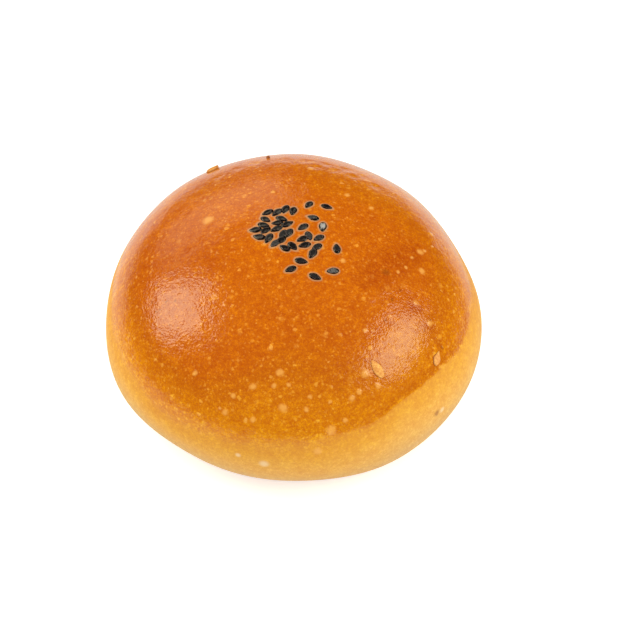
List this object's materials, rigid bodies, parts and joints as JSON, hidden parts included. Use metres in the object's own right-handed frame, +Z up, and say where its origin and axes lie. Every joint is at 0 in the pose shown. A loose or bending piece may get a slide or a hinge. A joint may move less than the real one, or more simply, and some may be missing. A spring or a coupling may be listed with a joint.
{
  "type": "red bean bun",
  "caption": "Round domed bun with a glossy browned crust, a pale baked rim, black sesame seeds scattered on its crown and a flat underside to rest on.",
  "frame": {"origin": "centre of the flat underside, on the surface it rests on", "axes": "+Z up, the side shown in the picture faces -Y"},
  "size_m": [0.0978, 0.098, 0.0505],
  "materials": {
    "crust": "glossy egg-washed brown crust, matt and pale round the rim",
    "sesame": "satin black seed skin"
  },
  "bodies": {
    "root": {"bun": "crust"}
  },
  "joints": []
}
